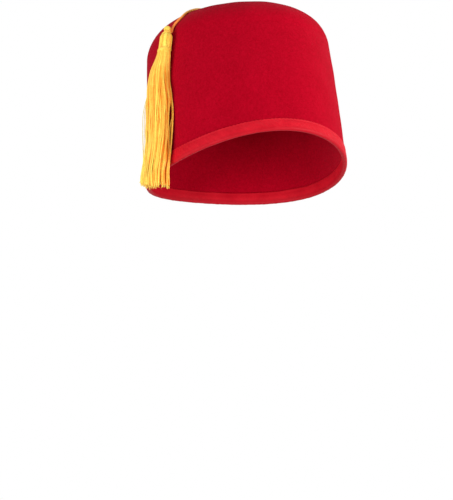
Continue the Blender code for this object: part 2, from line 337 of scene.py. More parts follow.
def felt_rows(turn):
    """The felt's outer face as rows of points, from the rim up to the cord's hole."""
    rows = [wall_points(turn, level) for level in np.linspace(0, 1, CROWN_WALL_ROWS + 1)]
    for bend in np.linspace(0, np.pi / 2, CROWN_SHOULDER_ROWS + 1)[1:]:
        inset = SHOULDER_RADIUS * (1 - math.cos(bend))
        half_width = TOP_HALF_WIDTH - inset
        rows.append(oval(half_width, TOP_HALF_LENGTH - inset,
                         WALL_HEIGHT + SHOULDER_RADIUS * math.sin(bend) + dome(half_width), turn))
    for share in np.linspace(1, 0, CROWN_TOP_ROWS + 1)[1:-1]:
        half_width = (TOP_HALF_WIDTH - SHOULDER_RADIUS) * share
        half_length = (TOP_HALF_LENGTH - SHOULDER_RADIUS) * share
        rows.append(oval(half_width, half_length, WALL_HEIGHT + SHOULDER_RADIUS + dome(half_width), turn))
    rows.append(oval(CORD_HOLE_RADIUS, CORD_HOLE_RADIUS, HAT_HEIGHT, turn))
    return np.array(rows)


def felt_side(azimuth, height):
    """The felt's outer face at azimuths in radians, its level normal, and its bend over the shoulder."""
    azimuth, height = np.broadcast_arrays(azimuth, height)
    ahead = np.stack([-np.sin(azimuth), -np.cos(azimuth)], axis=-1)
    arch = rim_arch(np.arctan2(ahead[..., 1] / RIM_HALF_LENGTH, ahead[..., 0] / RIM_HALF_WIDTH))
    half_width, half_length = wall_axes(np.clip((height - arch) / (WALL_HEIGHT - arch), 0, 1))
    bend = np.arcsin(np.clip((height - WALL_HEIGHT) / SHOULDER_RADIUS, 0, 1))
    inset = SHOULDER_RADIUS * (1 - np.cos(bend))
    half_width, half_length = half_width - inset, half_length - inset
    reach = 1 / np.hypot(ahead[..., 0] / half_width, ahead[..., 1] / half_length)
    point = np.concatenate([ahead * reach[..., None], height[..., None]], axis=-1)
    normal = unit(np.stack([point[..., 0] / half_width ** 2, point[..., 1] / half_length ** 2,
                            np.zeros_like(height)], axis=-1))
    return point, normal, bend


# ---- numbers and meshes

def unit(vectors):
    """Vectors scaled to length 1."""
    return vectors / np.linalg.norm(vectors, axis=-1, keepdims=True)


def ease(share):
    """A smooth step from 0 to 1."""
    share = np.clip(share, 0, 1)
    return share * share * (3 - 2 * share)


def soft_waves(points, wavelength, seed):
    """A soft random field over points, from about -1 to 1, with bumps of about this wavelength."""
    random = np.random.default_rng(seed)
    count = 7
    ways = unit(random.normal(size=(count, 3))) * random.uniform(0.7, 1.3, (count, 1))
    starts = random.uniform(0, 2 * np.pi, count)
    waves = np.sin(points @ ways.T * (2 * np.pi / wavelength) + starts)
    return waves.sum(axis=-1) / math.sqrt(count)


def layered_waves(points, layers, seed):
    """Soft fields of several wavelengths and heights, added up."""
    return sum(height * soft_waves(points, wavelength, seed + number)
               for number, (wavelength, height) in enumerate(layers))


def smooth_curve(at, places, values):
    """A smooth curve through values at rising places, read at many places."""
    slopes = np.gradient(values, places)
    left = np.clip(np.searchsorted(places, at) - 1, 0, len(places) - 2)
    span = places[left + 1] - places[left]
    t = np.clip((at - places[left]) / span, 0, 1)
    return ((2 * t ** 3 - 3 * t ** 2 + 1) * values[left] + (t ** 3 - 2 * t ** 2 + t) * span * slopes[left]
            + (3 * t ** 2 - 2 * t ** 3) * values[left + 1] + (t ** 3 - t ** 2) * span * slopes[left + 1])


def smooth_path(route, spacing):
    """A Catmull-Rom curve through the route, read about every spacing."""
    route = [Vector(point) for point in route]
    ends = [route[0] * 2 - route[1]] + route + [route[-1] * 2 - route[-2]]
    points = [route[0]]
    for before, start, end, after in zip(ends, ends[1:], ends[2:], ends[3:]):
        steps = max(1, round((end - start).length / spacing))
        for step in range(1, steps + 1):
            t = step / steps
            points.append(0.5 * (2 * start + (end - before) * t
                                 + (2 * before - 5 * start + 4 * end - after) * t ** 2
                                 + (3 * start - before - 3 * end + after) * t ** 3))
    return np.array(points)


def loft(rows, closed=False):
    """Faces between neighbouring rows of a grid whose rows are closed rings; closed joins last to first."""
    row_count, ring_count = rows.shape[:2]
    index = np.arange(row_count * ring_count).reshape(row_count, ring_count)
    if closed:
        index = np.concatenate([index, index[:1]])
    beside = np.roll(index, -1, axis=1)
    quads = np.stack([index[:-1], beside[:-1], beside[1:], index[1:]], axis=-1)
    return quads.reshape(-1, 4)


def end_faces(start, rings, sides):
    """The two faces that close a tube whose first point has the index start."""
    return [list(range(start + sides - 1, start - 1, -1)),
            list(range(start + (rings - 1) * sides, start + rings * sides))]


def sweep(paths, radii, sides, facing, roll=0.0):
    """Closed tubes along many paths at once.

    paths is (tubes, rings, 3), radii fits (tubes, rings, sides), and no path runs along facing.
    It gives the points, the faces, and for each point (cosine, sine, distance along the tube).
    """
    tubes, rings = paths.shape[:2]
    run = unit(np.gradient(paths, axis=1))
    side = unit(np.cross(run, np.broadcast_to(facing, paths.shape)))
    lift = np.cross(run, side)
    angle = full_turn(sides) + np.zeros((tubes, rings, 1))
    turned = angle + np.broadcast_to(roll, (tubes, rings))[..., None]
    radii = np.broadcast_to(radii, (tubes, rings, sides))[..., None]
    around = side[:, :, None] * np.cos(turned)[..., None] + lift[:, :, None] * np.sin(turned)[..., None]
    points = paths[:, :, None] + around * radii
    steps = np.linalg.norm(np.diff(paths, axis=1), axis=-1)
    along = np.concatenate([np.zeros((tubes, 1)), np.cumsum(steps, axis=1)], axis=1)
    thread = np.stack([np.cos(angle), np.sin(angle), np.broadcast_to(along[..., None], angle.shape)], axis=-1)
    starts = np.arange(tubes) * rings * sides
    faces = (loft(points[0])[None] + starts[:, None, None]).reshape(-1, 4).tolist()
    for start in starts.tolist():
        faces += end_faces(start, rings, sides)
    return points.reshape(-1, 3), faces, thread.reshape(-1, 3)


def add_core(tubes, core):
    """A sweep's points, faces and threads with a closed core added, which is (rings, sides, 3)."""
    points, faces, thread = tubes
    rings, sides = core.shape[:2]
    faces = faces + (loft(core) + len(points)).tolist() + end_faces(len(points), rings, sides)
    plain = np.tile([1.0, 0.0, 0.0], (rings * sides, 1))
    return np.concatenate([points, core.reshape(-1, 3)]), faces, np.concatenate([thread, plain])


def add_object(name, data):
    """A new object in the scene."""
    made = bpy.data.objects.new(name, data)
    bpy.context.scene.collection.objects.link(made)
    return made


def make_piece(name, points, faces, look, replaced=(), marks=None):
    """A smooth-shaded piece of the hat; marks are named values kept for each point, for its material."""
    mesh = bpy.data.meshes.new(name)
    mesh.from_pydata(np.asarray(points).tolist(), [], faces if isinstance(faces, list) else faces.tolist())
    for mark, values in (marks or {}).items():
        values = np.asarray(values, dtype=np.float32)
        if values.ndim == 1:
            mesh.attributes.new(mark, "FLOAT", "POINT").data.foreach_set("value", values)
        else:
            mesh.attributes.new(mark, "FLOAT_VECTOR", "POINT").data.foreach_set("vector", values.ravel())
    mesh.shade_smooth()
    mesh.materials.append(look)
    piece = add_object(name, mesh)
    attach(piece, "root")
    if replaced:
        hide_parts(*replaced)
    return piece


def make_strand(name, tubes, look, tint, replaced=()):
    """A piece made of the tubes that sweep gives, with one tint or a tint for each point."""
    points, faces, thread = tubes
    return make_piece(name, points, faces, look, replaced,
                      {"thread": thread, "tint": np.broadcast_to(tint, len(points))})


# ---- materials

def start_material(name, constants):
    """A material whose shader has these constant values; gives the material, its tree and its shader."""
    made = bpy.data.materials.new(name)
    made.use_nodes = True
    shader = made.node_tree.nodes["Principled BSDF"]
    for socket, value in constants.items():
        shader.inputs[socket].default_value = value
    return made, made.node_tree, shader


def add_node(tree, kind, inputs, output=0, **settings):
    """A node with its inputs set or linked; gives its output socket."""
    made = tree.nodes.new("ShaderNode" + kind)
    for setting, value in settings.items():
        setattr(made, setting, value)
    for socket, value in inputs.items():
        if isinstance(value, bpy.types.NodeSocket):
            tree.links.new(value, made.inputs[socket])
        else:
            made.inputs[socket].default_value = value
    return made.outputs[output]


def calculate(tree, operation, *values):
    """A Math node."""
    return add_node(tree, "Math", dict(enumerate(values)), operation=operation)


def weighted_sum(tree, *terms):
    """The sum of values, each given with its weight."""
    total = calculate(tree, "MULTIPLY", *terms[0])
    for value, weight in terms[1:]:
        total = calculate(tree, "MULTIPLY_ADD", value, weight, total)
    return total


def noise(tree, place, scale, detail, roughness=0.5, distortion=0.0):
    """Noise from about 0 to 1, with this many features to a metre."""
    return add_node(tree, "TexNoise", {"Vector": place, "Scale": scale, "Detail": detail,
                                       "Roughness": roughness, "Distortion": distortion})


def mix_colours(tree, share, first, second):
    """A blend from the first colour to the second."""
    made = tree.nodes.new("ShaderNodeMix")
    made.data_type = "RGBA"
    for socket, value in (("Factor", share), ("A", first), ("B", second)):
        slot = next(one for one in made.inputs if one.name == socket and one.enabled)
        if isinstance(value, bpy.types.NodeSocket):
            tree.links.new(value, slot)
        else:
            slot.default_value = (*value, 1.0)
    return next(one for one in made.outputs if one.enabled)


def attribute(tree, name, output="Fac"):
    """A named value kept for each point."""
    return add_node(tree, "Attribute", {}, output=output, attribute_name=name)


def separate(tree, vector):
    """The three parts of a vector."""
    made = tree.nodes.new("ShaderNodeSeparateXYZ")
    tree.links.new(vector, made.inputs[0])
    return made.outputs[0], made.outputs[1], made.outputs[2]


def add_bump(tree, shader, height, distance):
    """Bump from a height socket, in metres where the height runs from 0 to 1."""
    bump = add_node(tree, "Bump", {"Height": height, "Distance": distance, "Strength": BUMP_STRENGTH})
    tree.links.new(bump, shader.inputs["Normal"])


def make_felt():
    """Pressed wool felt: matt, mottled at a few sizes, with a fine matted pile."""
    made, tree, shader = start_material("pressed_felt", {
        "Roughness": 0.95, "Specular IOR Level": 0.014,
        "Sheen Weight": 0.06, "Sheen Roughness": 0.40, "Sheen Tint": (1.0, 0.50, 0.56, 1)})
    place = add_node(tree, "TexCoord", {}, output="Object")
    cloud = noise(tree, place, scale=55, detail=3)
    mottle = noise(tree, place, scale=480, detail=4, roughness=0.66, distortion=0.6)
    fibres = noise(tree, place, scale=1100, detail=3, roughness=0.65, distortion=2.4)
    shade = weighted_sum(tree, (cloud, 0.20), (mottle, 0.80), (fibres, 0.80))
    shade = add_node(tree, "MapRange", {"Value": shade, "From Min": 0.66, "From Max": 1.14})
    tree.links.new(mix_colours(tree, shade, *FELT_COLOURS), shader.inputs["Base Color"])
    add_bump(tree, shader, weighted_sum(tree, (fibres, 0.6), (mottle, 0.9)), distance=0.00045)
    return made


def make_satin():
    """Red satin ribbon: a soft gloss over fine ribs that run across it, and painted shade darkening its
    folded edge.
    """
    made, tree, shader = start_material("red_satin", {
        "Roughness": 0.42, "Specular IOR Level": 0.08,
        "Sheen Weight": 0.02, "Sheen Roughness": 0.35, "Sheen Tint": (1.0, 0.50, 0.50, 1)})
    place = add_node(tree, "TexCoord", {}, output="Object")
    around, across, _ = separate(tree, attribute(tree, "weave", "Vector"))
    ribs = calculate(tree, "SINE", calculate(tree, "MULTIPLY", around, 2 * math.pi / RIB_PITCH))
    rows = calculate(tree, "SINE", calculate(tree, "MULTIPLY", across, 2 * math.pi / WEFT_PITCH))
    slubs = noise(tree, place, scale=700, detail=3, roughness=0.6)
    cloud = noise(tree, place, scale=90, detail=2)
    shade = weighted_sum(tree, (slubs, 0.4), (cloud, 0.6))
    shade = add_node(tree, "MapRange", {"Value": shade, "From Min": 0.34, "From Max": 0.66})
    # Painted shade: the ribbon is darker round its fold under the rim, fading out a little way up both legs
    from_edge = calculate(tree, "ABSOLUTE", calculate(tree, "SUBTRACT", across, FOLD_SHADE_MIDDLE))
    unshaded = add_node(tree, "MapRange", {"Value": from_edge, "From Min": 0.0004, "From Max": FOLD_SHADE_WIDTH})
    colour = mix_colours(tree, unshaded, PAINTED_FOLD_SHADE, mix_colours(tree, shade, *SATIN_COLOURS))
    tree.links.new(colour, shader.inputs["Base Color"])
    add_bump(tree, shader, weighted_sum(tree, (rows, 0.25), (ribs, 0.5), (slubs, 1.2)), distance=0.00005)
    return made


def make_thread(name, colours, roughness, plies, lay, groove):
    """Twisted thread: grooves between its plies, fine fibres along them, and a tint for each thread that is
    lowered in the grooves as painted shade.
    """
    made, tree, shader = start_material(name, {
        "Roughness": roughness, "Specular IOR Level": 0.40,
        "Sheen Weight": 0.08, "Sheen Roughness": 0.4, "Sheen Tint": (1.0, 0.80, 0.45, 1)})
    place = add_node(tree, "TexCoord", {}, output="Object")
    cosine, sine, along = separate(tree, attribute(tree, "thread", "Vector"))
    angle = calculate(tree, "ARCTAN2", sine, cosine)
    spiral = calculate(tree, "MULTIPLY_ADD", along, 2 * math.pi / lay, angle)
    ply = calculate(tree, "ABSOLUTE", calculate(tree, "SINE", calculate(tree, "MULTIPLY", spiral, plies / 2)))
    run = calculate(tree, "MULTIPLY", along, 2 * math.pi / FIBRE_LAY)
    fibre = calculate(tree, "SINE", calculate(tree, "MULTIPLY_ADD", spiral, 11.0, run))
    cloud = noise(tree, place, scale=340, detail=2)
    tint = calculate(tree, "MULTIPLY_ADD", cloud, 0.60, attribute(tree, "tint"))
    # Painted shade: the tint is lowered in the grooves between the plies
    tint = calculate(tree, "MULTIPLY_ADD", ply, 0.14, calculate(tree, "SUBTRACT", tint, 0.39))
    tint = add_node(tree, "Clamp", {"Value": tint})
    tree.links.new(mix_colours(tree, tint, *colours), shader.inputs["Base Color"])
    add_bump(tree, shader, calculate(tree, "MULTIPLY_ADD", fibre, 0.06, ply), groove)
    return made


# ---- felt cap

def grid_normals(rows):
    """Outward normals of a grid of rings that rises from the rim to the top."""
    around = np.roll(rows, -1, axis=1) - np.roll(rows, 1, axis=1)
    upward = np.gradient(rows, axis=0)
    return unit(np.cross(around, upward))


def make_crown(felt):
    """The cap: an outer face with the slight unevenness of pressed felt, and an inner face behind it."""
    outer = felt_rows(full_turn(CROWN_TURNS))
    normals = grid_normals(outer)
    lift = layered_waves(outer, FELT_WAVES, FELT_SEED)
    free = ease(outer[..., 2:3].clip(0) / FELT_HELD)
    from_hole = np.linalg.norm(outer[..., :2], axis=-1)
    dimple = CORD_DIMPLE_DEPTH * np.exp(-(from_hole / (CORD_DIMPLE_RADIUS / 2)) ** 2)
    dimple = dimple * (outer[..., 2] > WALL_HEIGHT)
    outer = outer + normals * (lift[..., None] * free - dimple[..., None])
    inner = (outer - normals * FELT_THICKNESS)[::-2]
    rows = np.concatenate([outer, inner])
    make_piece("felt_crown", rows.reshape(-1, 3), loft(rows, closed=True), felt, ["crown"])


# ---- ribbon

def rim_distance(turn):
    """Distance round the rim at each of these even turns, and the whole way round."""
    rim = wall_points(np.append(turn, 2 * np.pi), 0.0)
    steps = np.linalg.norm(np.diff(rim, axis=0), axis=1)
    return np.cumsum(steps) - steps, steps.sum()


def stitch_count(girth):
    """How many stitches go round the rim."""
    return round(girth / STITCH_PITCH)


def between_stitches(distance, girth):
    """1 midway between two stitches and -1 at the middle of each, at distances round the rim."""
    return np.cos(distance / girth * stitch_count(girth) * 2 * np.pi)


def ribbon_offset(turn, height, distance, girth):
    """How far the ribbon's middle stands from the felt's, at a height above the rim, on the outside."""
    puff = ease((STITCH_HEIGHT - height) / RIBBON_PUFF)
    lip = RIBBON_LIP * ease((height - STITCH_HEIGHT) / (RIBBON_LEG - STITCH_HEIGHT))
    pinch = np.exp(-((height - STITCH_HEIGHT) / STITCH_PINCH) ** 2)
    tug = STITCH_DIMPLE * (0.5 + 0.5 * between_stitches(distance, girth)) * (1 - pinch)
    near_stitch = ease((height - STITCH_PULL_LOW) / STITCH_PULL_SPAN)
    cloth = distance + height * 0.8, height * 0.35, 0.02 * np.sin(turn)
    slack = ease((STITCH_HEIGHT - height) / CREASE_TOP_FADE)
    slack = slack * ease((height + CREASE_RIM_FADE / 2) / CREASE_RIM_FADE)
    creases = layered_waves(np.stack(np.broadcast_arrays(*cloth), axis=-1), CREASES, CREASE_SEED) * slack
    return RIBBON_HELD + (RIBBON_FOLD_RADIUS - RIBBON_HELD) * puff + lip + creases + tug * near_stitch


def make_ribbon(satin):
    """The ribbon: sewn down near its upper edge, slack below, folded under the rim and up inside."""
    turn = full_turn(RIBBON_TURNS)
    distance, girth = rim_distance(turn)
    scallop = RIBBON_SCALLOP * between_stitches(distance, girth)
    scallop = scallop + layered_waves(wall_points(turn, 0.0), RIBBON_EDGE_WAVES, RIBBON_EDGE_SEED)
    half_felt = FELT_THICKNESS / 2
    middles, places = [], []
    for share in np.linspace(1, 0, RIBBON_LEG_ROWS + 1):
        height = (RIBBON_LEG + scallop) * share
        offset = ribbon_offset(turn, height, distance, girth)
        middles.append(wall_points(turn, height / WALL_HEIGHT, proud=offset - half_felt))
        places.append(height)
    edge = ribbon_offset(turn, 0 * turn, distance, girth)
    for swing in np.linspace(0, np.pi, RIBBON_FOLD_ROWS + 2)[1:-1]:
        blend = ease(swing / np.pi)
        radius = edge * (1 - blend) + RIBBON_FOLD_RADIUS * blend
        middles.append(wall_points(turn, 0.0, proud=radius * math.cos(swing) - half_felt,
                                   rise=-RIBBON_FOLD_DROP - radius * math.sin(swing)))
        places.append(np.full_like(turn, -swing * RIBBON_FOLD_RADIUS))
    for share in np.linspace(0, 1, RIBBON_LEG_ROWS // 2 + 1):
        height = (RIBBON_LEG - scallop) * share
        puff = ease((STITCH_HEIGHT - height) / RIBBON_INSIDE_PUFF)
        offset = RIBBON_HELD + (RIBBON_FOLD_RADIUS - RIBBON_HELD) * puff
        middles.append(wall_points(turn, height / WALL_HEIGHT, proud=-offset - half_felt))
        places.append(-np.pi * RIBBON_FOLD_RADIUS - height)
    middle = np.array(middles)
    across = np.gradient(middle, axis=0)
    around = np.roll(middle, -1, axis=1) - np.roll(middle, 1, axis=1)
    half = unit(np.cross(across, around)) * RIBBON_THICKNESS / 2
    rows = np.concatenate([middle + half, (middle - half)[::-1]])
    places = np.array(places)
    weave = np.stack([np.broadcast_to(distance, rows.shape[:2]),
                      np.concatenate([places, places[::-1]]), np.zeros(rows.shape[:2])], axis=-1)
    faces = loft(rows, closed=True)[:, ::-1]
    make_piece("rim_ribbon", rows.reshape(-1, 3), faces, satin, ["rim_binding"],
               {"weave": weave.reshape(-1, 3)})


def make_stitches(satin):
    """The sewing thread that holds the ribbon near its upper edge."""
    turn = full_turn(RIBBON_TURNS)
    distance, girth = rim_distance(turn)
    number = np.arange(stitch_count(girth))
    centres = (number + 0.5) * girth / len(number)
    steps = np.linspace(-0.5, 0.5, 7)
    at = centres[:, None] + steps * STITCH_LENGTH
    at_turn = np.interp(at, np.append(distance, girth), np.append(turn, 2 * np.pi))
    height = STITCH_HEIGHT + STITCH_STRAY * np.sin(number * 2.4)[:, None] + 0 * at
    arch = STITCH_BOW * (1 - (2 * steps) ** 2) - STITCH_SINK
    offset = ribbon_offset(at_turn, height, at, girth) + RIBBON_THICKNESS / 2 + arch
    paths = wall_points(at_turn, height / WALL_HEIGHT, proud=offset - FELT_THICKNESS / 2)
    points, faces, thread = sweep(paths, STITCH_DIAMETER / 2, 6, (0, 0, 1))
    make_piece("rim_stitches", points, faces, satin,
               marks={"weave": thread * STITCH_WEAVE + (0, STITCH_HEIGHT, 0)})


# ---- cord and knots

def ply_radii(angle, radius):
    """The outline of round plies laid side by side in a ring, as a radius at each angle."""
    half_gap = math.sin(math.pi / CORD_PLIES)
    ply = radius * (half_gap / (1 + half_gap))
    middle = radius - ply
    sector = 2 * np.pi / CORD_PLIES
    bearing = (angle + sector / 2) % sector - sector / 2
    inside = np.clip(ply ** 2 - (middle * np.sin(bearing)) ** 2, 0, None)
    return middle * np.cos(bearing) + np.sqrt(inside)


def twisted_cord(path, diameter, facing, sides):
    """A cord of round plies along one path, as sweep gives it, and its length."""
    steps = np.linalg.norm(np.diff(path, axis=0), axis=1)
    along = np.append(0, np.cumsum(steps))
    angle = full_turn(sides)[None] - 2 * np.pi * along[:, None] / CORD_LAY
    radii = diameter / 2 * (1 - CORD_RELIEF) + CORD_RELIEF * ply_radii(angle, diameter / 2)
    return sweep(path[None], radii[None], sides, facing), float(along[-1])


def make_cord(look):
    """The cord that carries the tassel, from the stop knot inside to the tassel's neck."""
    path = smooth_path(CORD_ROUTE, CORD_POINT_SPACING)
    tubes, length = twisted_cord(path, CORD_DIAMETER, (0.7, -0.7, 0.15), 24)
    # Painted light: the cord's colour shifts from orange to gold with height, after how light falls on it
    gold = ease((tubes[0][:, 2] - CORD_GOLD_LOW) / CORD_GOLD_SPAN)
    cord = make_strand("twisted_cord", tubes, look, gold, ["tassel_cord"])


def make_stop_knot(look):
    """An overhand knot under the top of the cap, which keeps the cord from pulling out."""
    centre = np.array((stop_low + stop_high) / 2)
    half = np.array((stop_high - stop_low) / 2)
    t = full_turn(160)
    loop = np.stack([np.sin(t) + 2 * np.sin(2 * t), np.cos(t) - 2 * np.cos(2 * t), -1.25 * np.sin(3 * t)],
                    axis=-1)
    path = centre + loop / 3 * (half - STOP_KNOT_DIAMETER / 2)
    tubes, _ = twisted_cord(path, STOP_KNOT_DIAMETER, path - centre, 18)
    make_strand("stop_knot", tubes, look, 0.4, ["cord_knot"])


def wound_ball(centre, half):
    """Yarn wound round a ball in loops that tilt a little more each time: its path, and the way out."""
    t = np.linspace(0, KNOB_LOOPS, KNOB_LOOPS * KNOB_LOOP_RINGS)
    spin = 2 * np.pi * t
    done = np.pi * t / KNOB_LOOPS
    tilt = 1.15 * np.sin(done * 2.3 + 0.6)
    heading = done * 3.1
    flat = np.stack([np.cos(spin), np.sin(spin) * np.cos(tilt), np.sin(spin) * np.sin(tilt)], axis=-1)
    turned = np.stack([flat[:, 0] * np.cos(heading) - flat[:, 1] * np.sin(heading),
                       flat[:, 0] * np.sin(heading) + flat[:, 1] * np.cos(heading), flat[:, 2]], axis=-1)
    return centre + turned * (half - THREAD_DIAMETER / 2), turned


def make_knob(look):
    """The small ball of wound yarn above the tassel's head, with its core."""
    centre = np.array((knob_low + knob_high) / 2)
    half = np.array((knob_high - knob_low) / 2)
    path, outward = wound_ball(centre, half)
    tubes = sweep(path[None], THREAD_DIAMETER / 2, 8, outward[None])
    tilt = np.linspace(-np.pi / 2, np.pi / 2, 14)[1:-1, None]
    turn = full_turn(24)
    ball = np.cos(tilt) * np.cos(turn), np.cos(tilt) * np.sin(turn), np.sin(tilt)
    core = centre + (half - THREAD_DIAMETER * 0.75) * np.stack(np.broadcast_arrays(*ball), axis=-1)
    make_strand("tassel_top_knot", add_core(tubes, core), look, 0.7, replaced=["tassel_knob"])


# ---- tassel

def section_size(name, height):
    """One column of the tassel's table, read at each height."""
    return smooth_curve(np.maximum(height, SECTIONS["height"][0]), SECTIONS["height"], SECTIONS[name])


def tassel_frame(height):
    """At each height: the middle of the section's widest line, and the ways along the wall and out."""
    point, outward, bend = felt_side(np.radians(section_size("azimuth", height)), height)
    out = section_size("depth", height) * section_size("back", height) + section_size("clearance", height)
    return point + outward * (out * np.cos(bend))[..., None], np.cross((0, 0, 1), outward), outward


def tassel_facing():
    """The way out from the wall at the middle of the tassel."""
    _, _, outward = tassel_frame(np.array(0.04))
    return outward


def near(angle, middle, narrowness):
    """How near each angle is to a place round the tassel in degrees, from 0 to 1."""
    return np.clip(np.cos(angle - math.radians(middle)), 0, 1) ** narrowness


def section_points(height, angle, share, inset):
    """Points round the tassel at an angle, a share of the section's size, and this far in from its edge."""
    height, angle, share = np.broadcast_arrays(height, angle, share)
    share = share * (1 - TAPER * near(angle, FRONT_ANGLE, 4) * ease((TAPER_HEIGHT - height) / TAPER_SPAN))
    centre, along, outward = tassel_frame(height)
    back = section_size("back", height)
    reach = section_size("depth", height) * np.where(np.sin(angle) > 0, 1 - back, back)
    across = (section_size("width", height) / 2 - inset) * share * np.cos(angle)
    out = np.maximum(reach - inset, 0) * share * np.sin(angle)
    settled = SETTLE * np.clip(np.cos(angle - SETTLE_MIDDLE), 0, 1) ** 2
    settled = settled * ease((TIE_HEIGHT - height) / SETTLE_SPAN)
    across = across - settled * math.cos(math.radians(SETTLE_ANGLE))
    felt = -section_size("depth", height) * back - across ** 2 / (2 * FELT_CURVE)
    out = np.maximum(out - settled * math.sin(math.radians(SETTLE_ANGLE)), felt + inset)
    return centre + along * across[..., None] + outward * out[..., None]


def even_angles(count, stretch):
    """Angles that space points evenly round an oval whose width is stretch times its depth."""
    fine = np.linspace(0, 2 * np.pi, 721)
    middle = (fine[1:] + fine[:-1]) / 2
    steps = np.hypot(stretch * np.sin(middle), np.cos(middle))
    run = np.append(0, np.cumsum(steps)) / steps.sum()
    return np.interp((np.arange(count) + 0.5) / count, run, fine)


def thread_tips(random, angle, share, clumps):
    """Heights of the threads' tips, on a slant round the tassel, ragged by clump and by thread."""
    clump = np.rint(angle * clumps / (2 * np.pi)).astype(int) % clumps
    tip = TIP_HEIGHT - TIP_SLANT * share * np.cos(angle - math.radians(TIP_SLANT_ANGLE))
    tip = tip + TIP_LIFT * (0.5 - 0.5 * np.cos(angle + 0.17)) ** 2
    tip = tip + INNER_TIP_SHORTER * (1 - share) + random.normal(0, TIP_RAGGED, clumps)[clump]
    return tip + random.normal(0, TIP_RAGGED / 2, len(angle))


def skirt_threads(random, count, rings, least_share, most_share, clumps, gather):
    """Paths and tints of one layer of the skirt's threads, gathered in clumps that drift as they fall; the
    tints carry painted shade.
    """
    angle = even_angles(count, 2.2) + random.uniform(-0.4, 0.4, count) * 2 * np.pi / count
    share = random.uniform(least_share, most_share, count)
    tip = thread_tips(random, angle, share, clumps)
    fall = np.linspace(0, 1, rings)[None]
    top = TIE_HEIGHT + SKIRT_OVERLAP
    height = top + (tip[:, None] - top) * fall
    loose = ease((top - height) / LOOSE_SPAN)
    angle, share = angle[:, None], share[:, None]
    drift = sum(size * np.sin(down * fall + angle * around + start)
                for size, down, around, start in CLUMP_DRIFTS)
    phase = clumps * angle + drift
    pulled = angle - gather * loose / clumps * np.sin(phase)
    hollow = 0.5 - 0.5 * np.cos(phase)
    sway = random.uniform(0.6, 1.5, (count, 1)) * 2 * np.pi
    start = random.uniform(0, 2 * np.pi, (4, count, 1))
    size = random.uniform(0.3, 1.0, (2, count, 1))
    ripples = random.uniform(5, 9, (2, count, 1)) * 2 * np.pi * fall / 2
    ripple = loose * RIPPLE * np.sin(ripples + start[[1, 3]])
    pulled = pulled + loose * SWAY_ROUND * size[0] * np.sin(sway * fall + start[0]) + ripple[0]
    share = share * (1 - CLUMP_GROOVE * loose * hollow)
    share = share + loose * SWAY_OUT * size[1] * np.sin(sway * 1.3 * fall + start[2]) + ripple[1]
    parted = np.exp(-((height - PARTING_HEIGHT) / PARTING_SPAN) ** 4) * near(angle, FRONT_ANGLE, 4)
    share = np.minimum(share, 1.03) * (1 - PARTING_DEPTH * parted)
    # Painted shade: the tints are lowered on the front side next to the felt, on the outer side, between
    # clumps and near the tie
    outer_shade = SKIRT_OUTER_SHADE * near(angle, OUTER_ANGLE, 3) * ease(height / OUTER_SHADE_HEIGHT)
    shaded = SKIRT_FRONT_SHADE * near(angle, FRONT_ANGLE, 2) + outer_shade
    hollow = (HOLLOW_SHADE + HOLLOW_FRONT_SHADE * near(angle, FRONT_ANGLE, 3)) * hollow
    hollow = hollow * (1 - 0.5 * ease((0.008 - height) / 0.02))
    tint = random.uniform(*SKIRT_TINTS, (count, 1)) - (hollow + shaded) * loose
    return section_points(height, pulled, share, THREAD_DIAMETER / 2), tint - SKIRT_TOP_SHADE * (1 - loose)


def stray_threads(rings):
    """Paths, tints and sizes of the loose threads that hang a little apart from the rest."""
    angle, off, top, bottom, tip, size = (column[:, None] for column in np.array(STRAYS).T)
    fall = np.linspace(0, 1, rings)[None]
    start = TIE_HEIGHT + 0.001
    height = start + (tip - start) * fall
    down = np.clip((top - height) / (top - bottom), 0, 1)
    away = off * ease(down / 0.35) * ease((1 - down) / 0.45)
    angle = np.radians(angle) + 0.02 * np.sin(9 * fall + angle)
    points = section_points(height, angle, 0.99, THREAD_DIAMETER / 2)
    outward = unit(points - tassel_frame(height)[0])
    # Painted shade: the thicker loose threads, which hang at the front, are given a deeper orange than the
    # thin ones
    return points + outward * away[..., None], 1.25 - 0.85 * size + 0 * height, size


def thread_radii(random, count, rings):
    """Radii along each thread, a little uneven, and narrower at the tip."""
    fall = np.linspace(0, 1, rings)[None]
    size = THREAD_DIAMETER / 2 * random.uniform(0.9, 1.1, (count, 1))
    uneven = 1 + 0.05 * np.sin(fall * random.uniform(20, 60, (count, 1)) + random.uniform(0, 6.3, (count, 1)))
    narrow = 1 - 0.45 * ease((fall - 0.985) / 0.015)
    return (size * uneven * narrow)[..., None]


def make_skirt_layer(name, paths, radii, sides, look, tints, replaced=()):
    """One piece of many threads."""
    tubes = len(paths)
    random = np.random.default_rng(LAYER_SEEDS[name])
    roll = random.uniform(0, 2 * np.pi, (tubes, 1))
    points, faces, thread = sweep(paths, radii, sides, tassel_facing(), roll)
    thread = thread.reshape(tubes, -1, 3)
    thread[..., 2] += random.uniform(0, THREAD_LAY, (tubes, 1))
    make_strand(name, (points, faces, thread.reshape(-1, 3)), look, np.repeat(tints.ravel(), sides),
                replaced=replaced)


